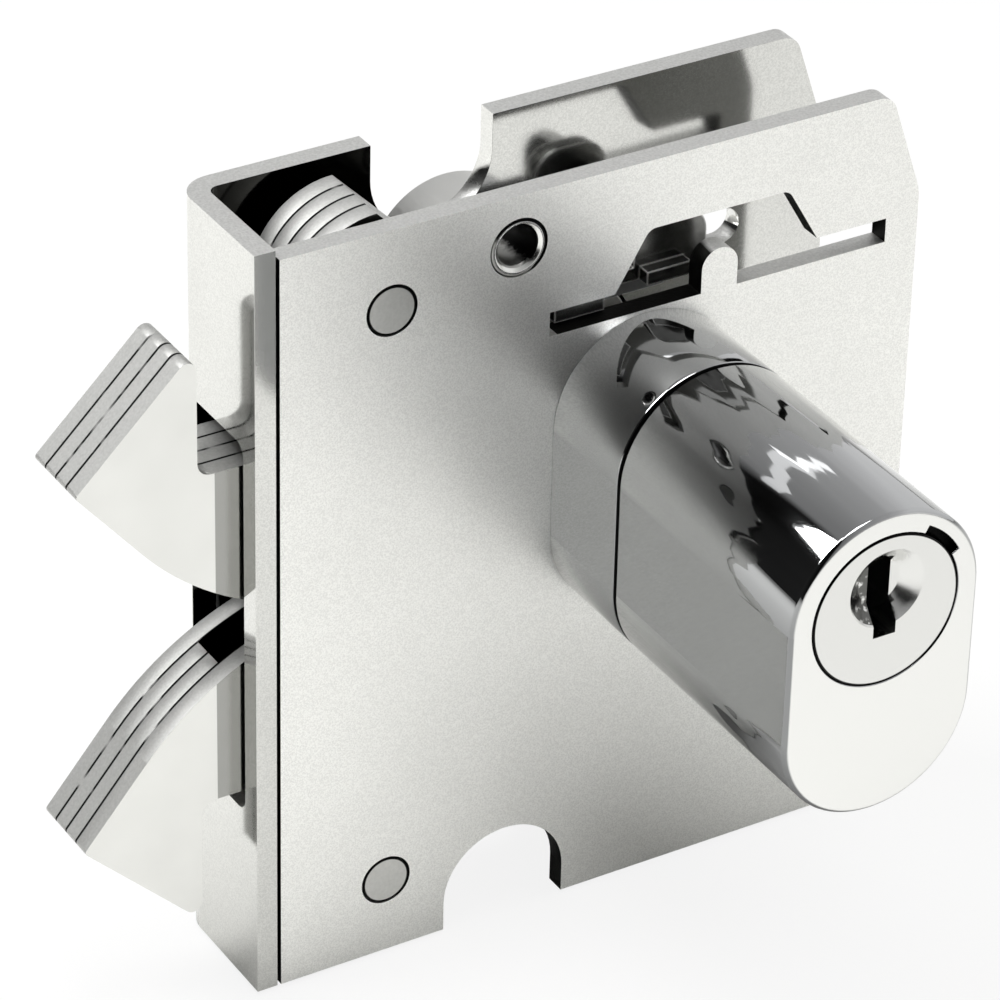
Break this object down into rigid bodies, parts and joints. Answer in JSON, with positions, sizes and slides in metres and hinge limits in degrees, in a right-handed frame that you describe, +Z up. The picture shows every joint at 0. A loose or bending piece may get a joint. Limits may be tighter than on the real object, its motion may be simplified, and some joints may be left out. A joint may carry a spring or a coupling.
{
  "type": "sliding door lock",
  "caption": "Sliding door lock: flat steel case, two laminated hook claws through the forend, an oval key cylinder in front and a small round one behind.",
  "frame": {"origin": "on the upper fixing bore's axis, at the front plate's inner face", "axes": "+X from the forend into the lock, +Y from the front plate to the back plate, +Z up"},
  "size_m": [0.0817, 0.0723, 0.0753],
  "materials": {
    "case_steel": "bright plated sheet",
    "bracket_steel": "plated sheet",
    "bush_steel": "turned and plated",
    "pivot_steel": "turned and plated",
    "claw_steel": "plated, sheared edges",
    "slide_steel": "plated",
    "cylinder_chrome": "polished chrome",
    "plug_nickel": "satin nickel",
    "clip_steel": "plated",
    "crank_steel": "plated"
  },
  "bodies": {
    "case": {"case_shell": "case_steel", "front_plate": "case_steel", "screw_bush": "bush_steel", "guide_bracket": "bracket_steel", "upper_pivot_pin": "pivot_steel", "lower_pivot_pin": "pivot_steel", "rear_sleeve": "cylinder_chrome", "cylinder_body": "cylinder_chrome", "rear_cylinder": "cylinder_chrome"},
    "plug": {"plug": "plug_nickel", "crank": "crank_steel", "crank_clip": "clip_steel", "rear_plug": "plug_nickel"},
    "slide": {"slide_plate": "slide_steel", "slide_drive_pins": "slide_steel", "slide_guide_studs": "slide_steel"},
    "upper_claw": {"upper_claw_leaf_1": "claw_steel", "upper_claw_leaf_2": "claw_steel", "upper_claw_leaf_3": "claw_steel", "upper_claw_leaf_4": "claw_steel"},
    "lower_claw": {"lower_claw_leaf_1": "claw_steel", "lower_claw_leaf_2": "claw_steel", "lower_claw_leaf_3": "claw_steel", "lower_claw_leaf_4": "claw_steel"}
  },
  "joints": [
    {"name": "plug_turn", "type": "hinge", "parent": "case", "child": "plug", "pos_m": [0.0132, -0.022, -0.0191], "axis": [0, -1, 0], "range_deg": [0, 90]},
    {"name": "slide_travel", "type": "slide", "parent": "case", "child": "slide", "axis": [1, 0, 0], "range_m": [0, 0.0089]},
    {"name": "upper_claw_swing", "type": "hinge", "parent": "case", "child": "upper_claw", "pos_m": [-0.01225, 0.005, -0.0027], "axis": [0, -1, 0], "range_deg": [0, 48]},
    {"name": "lower_claw_swing", "type": "hinge", "parent": "case", "child": "lower_claw", "pos_m": [-0.01225, 0.005, -0.0613], "axis": [0, 1, 0], "range_deg": [0, 48]}
  ],
  "couplings": [
    {"joint": "slide_travel", "follows": "plug_turn", "m_per_rad": 0.0056687},
    {"joint": "upper_claw_swing", "follows": "plug_turn", "ratio": 0.53333},
    {"joint": "lower_claw_swing", "follows": "plug_turn", "ratio": 0.53333}
  ]
}
